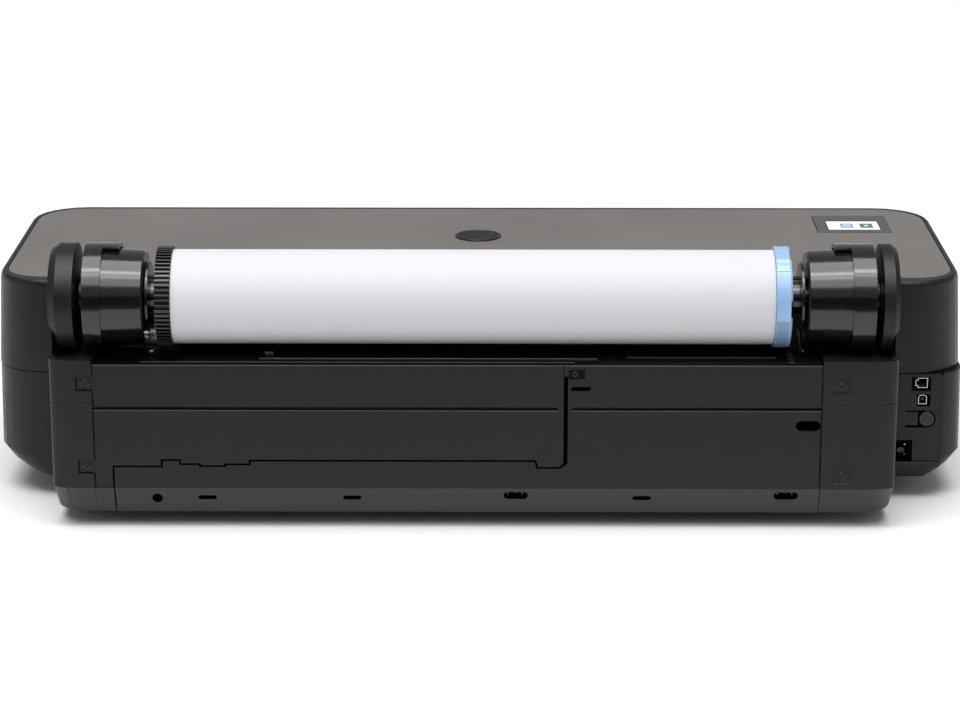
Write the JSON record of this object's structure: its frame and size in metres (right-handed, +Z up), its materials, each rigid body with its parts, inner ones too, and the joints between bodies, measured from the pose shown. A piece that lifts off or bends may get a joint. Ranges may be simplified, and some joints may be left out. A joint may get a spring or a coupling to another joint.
{
  "type": "large format plotter",
  "caption": "Desktop large format inkjet plotter with a lift-up lid over its carriage and a paper roll turning on a rear spindle between two drums.",
  "frame": {"origin": "on the desk under the middle of the plotter's bounding box", "axes": "+Z up, +X along the roll and the printer's width, -Y out of the printer's front, +Y towards the roll"},
  "size_m": [1.0096, 0.4401, 0.285],
  "materials": {
    "black_shell": "fine matte texture",
    "gloss_black": "glossy",
    "taupe_inlay": "matte, fine woven texture",
    "dark_grey": "matte",
    "screen": "glossy lit display",
    "paper": "matte",
    "card": "matte",
    "blue": "semi-gloss",
    "steel": "brushed",
    "rubber": "matte",
    "circuit": "satin",
    "cyan": "satin",
    "magenta": "satin",
    "yellow": "satin"
  },
  "bodies": {
    "chassis": {"base_shell": "black_shell", "port_panel": "black_shell", "upper_shell": "black_shell", "side_cover_left": "black_shell", "side_cover_right": "black_shell", "cheek_cover_left": "black_shell", "cheek_cover_right": "black_shell", "rear_access_panel": "black_shell", "rear_cover": "black_shell", "drum_left": "gloss_black", "drum_right": "gloss_black", "power_inlet": "gloss_black", "roll_deck": "gloss_black", "control_panel": "dark_grey", "cartridge_bay": "dark_grey", "carriage_motor": "dark_grey", "platen": "dark_grey", "feed_motor": "dark_grey", "service_station": "dark_grey", "power_supply": "dark_grey", "rear_frame": "dark_grey", "roll_motor": "dark_grey", "display_glass": "screen", "carriage_rail": "steel", "cutter_rail": "steel", "network_socket": "steel", "data_socket": "steel", "cover_screw_1": "steel", "cover_screw_2": "steel", "cover_screw_3": "steel", "cover_screw_4": "steel", "drive_belt": "rubber", "foot_1": "rubber", "foot_2": "rubber", "foot_3": "rubber", "foot_4": "rubber", "main_board": "circuit"},
    "lid": {"top_lid": "taupe_inlay", "emblem_disc": "gloss_black"},
    "output_flap": {"output_flap": "dark_grey"},
    "ink_door": {"ink_door": "black_shell"},
    "cartridge_1": {"ink_cartridge_1": "cyan"},
    "cartridge_2": {"ink_cartridge_2": "magenta"},
    "cartridge_3": {"ink_cartridge_3": "yellow"},
    "cartridge_4": {"ink_cartridge_4": "gloss_black"},
    "carriage": {"carriage": "dark_grey"},
    "motor_pulley": {"motor_pulley": "steel"},
    "idler_pulley": {"idler_pulley": "steel"},
    "cutter": {"cutter": "gloss_black"},
    "feed_roller": {"feed_roller": "rubber", "feed_gear": "dark_grey"},
    "feed_pinion": {"feed_pinion": "steel"},
    "pinch_roller": {"pinch_roller": "rubber"},
    "roll": {"spindle": "gloss_black", "roll_flange_gear": "gloss_black", "roll_core": "card", "paper_roll": "paper"},
    "blue_hub": {"blue_hub": "blue"},
    "roll_pinion": {"roll_pinion": "dark_grey"},
    "rear_key": {"rear_key": "dark_grey"}
  },
  "joints": [
    {"name": "lid_hinge", "type": "hinge", "parent": "chassis", "child": "lid", "pos_m": [0, 0.098, 0.2334], "axis": [-1, 0, 0], "range_deg": [0, 70]},
    {"name": "output_flap_hinge", "type": "hinge", "parent": "chassis", "child": "output_flap", "pos_m": [0, -0.22, 0.062], "axis": [1, 0, 0], "range_deg": [0, 90]},
    {"name": "ink_door_hinge", "type": "hinge", "parent": "chassis", "child": "ink_door", "pos_m": [0.392, -0.22, 0.06], "axis": [1, 0, 0], "range_deg": [0, 90]},
    {"name": "cartridge_1_slide", "type": "slide", "parent": "chassis", "child": "cartridge_1", "axis": [0, -1, 0], "range_m": [0, 0.01]},
    {"name": "cartridge_2_slide", "type": "slide", "parent": "chassis", "child": "cartridge_2", "axis": [0, -1, 0], "range_m": [0, 0.01]},
    {"name": "cartridge_3_slide", "type": "slide", "parent": "chassis", "child": "cartridge_3", "axis": [0, -1, 0], "range_m": [0, 0.01]},
    {"name": "cartridge_4_slide", "type": "slide", "parent": "chassis", "child": "cartridge_4", "axis": [0, -1, 0], "range_m": [0, 0.01]},
    {"name": "carriage_slide", "type": "slide", "parent": "chassis", "child": "carriage", "axis": [1, 0, 0], "range_m": [-0.79, 0]},
    {"name": "motor_pulley_spin", "type": "hinge", "parent": "chassis", "child": "motor_pulley", "pos_m": [0.47, 0.046, 0.182], "axis": [0, 1, 0], "range_deg": [-6900, 60]},
    {"name": "idler_pulley_spin", "type": "hinge", "parent": "chassis", "child": "idler_pulley", "pos_m": [-0.47, 0.046, 0.182], "axis": [0, 1, 0], "range_deg": [-6900, 60]},
    {"name": "cutter_slide", "type": "slide", "parent": "chassis", "child": "cutter", "axis": [1, 0, 0], "range_m": [-0.62, 0]},
    {"name": "feed_roller_spin", "type": "hinge", "parent": "chassis", "child": "feed_roller", "pos_m": [0, 0.034, 0.122], "axis": [1, 0, 0], "continuous": true},
    {"name": "feed_pinion_spin", "type": "hinge", "parent": "chassis", "child": "feed_pinion", "pos_m": [0.347, 0.034, 0.09], "axis": [1, 0, 0], "continuous": true},
    {"name": "pinch_roller_spin", "type": "hinge", "parent": "chassis", "child": "pinch_roller", "pos_m": [0, 0.034, 0.1403], "axis": [1, 0, 0], "continuous": true},
    {"name": "roll_spin", "type": "hinge", "parent": "chassis", "child": "roll", "pos_m": [0, 0.1653, 0.2306], "axis": [1, 0, 0], "continuous": true},
    {"name": "blue_hub_slide", "type": "slide", "parent": "roll", "child": "blue_hub", "axis": [-1, 0, 0], "range_m": [0, 0.0035]},
    {"name": "roll_pinion_spin", "type": "hinge", "parent": "chassis", "child": "roll_pinion", "pos_m": [0.321, 0.13405, 0.17647], "axis": [1, 0, 0], "continuous": true},
    {"name": "rear_key_press", "type": "slide", "parent": "chassis", "child": "rear_key", "axis": [0, -1, 0], "range_m": [0, 0.0015], "stiffness_N_per_m": 400}
  ],
  "couplings": [
    {"joint": "motor_pulley_spin", "follows": "carriage_slide", "rad_per_m": 151.51},
    {"joint": "idler_pulley_spin", "follows": "carriage_slide", "rad_per_m": 151.51},
    {"joint": "feed_pinion_spin", "follows": "feed_roller_spin", "ratio": -3},
    {"joint": "pinch_roller_spin", "follows": "feed_roller_spin", "ratio": -2},
    {"joint": "roll_pinion_spin", "follows": "roll_spin", "ratio": -4}
  ]
}
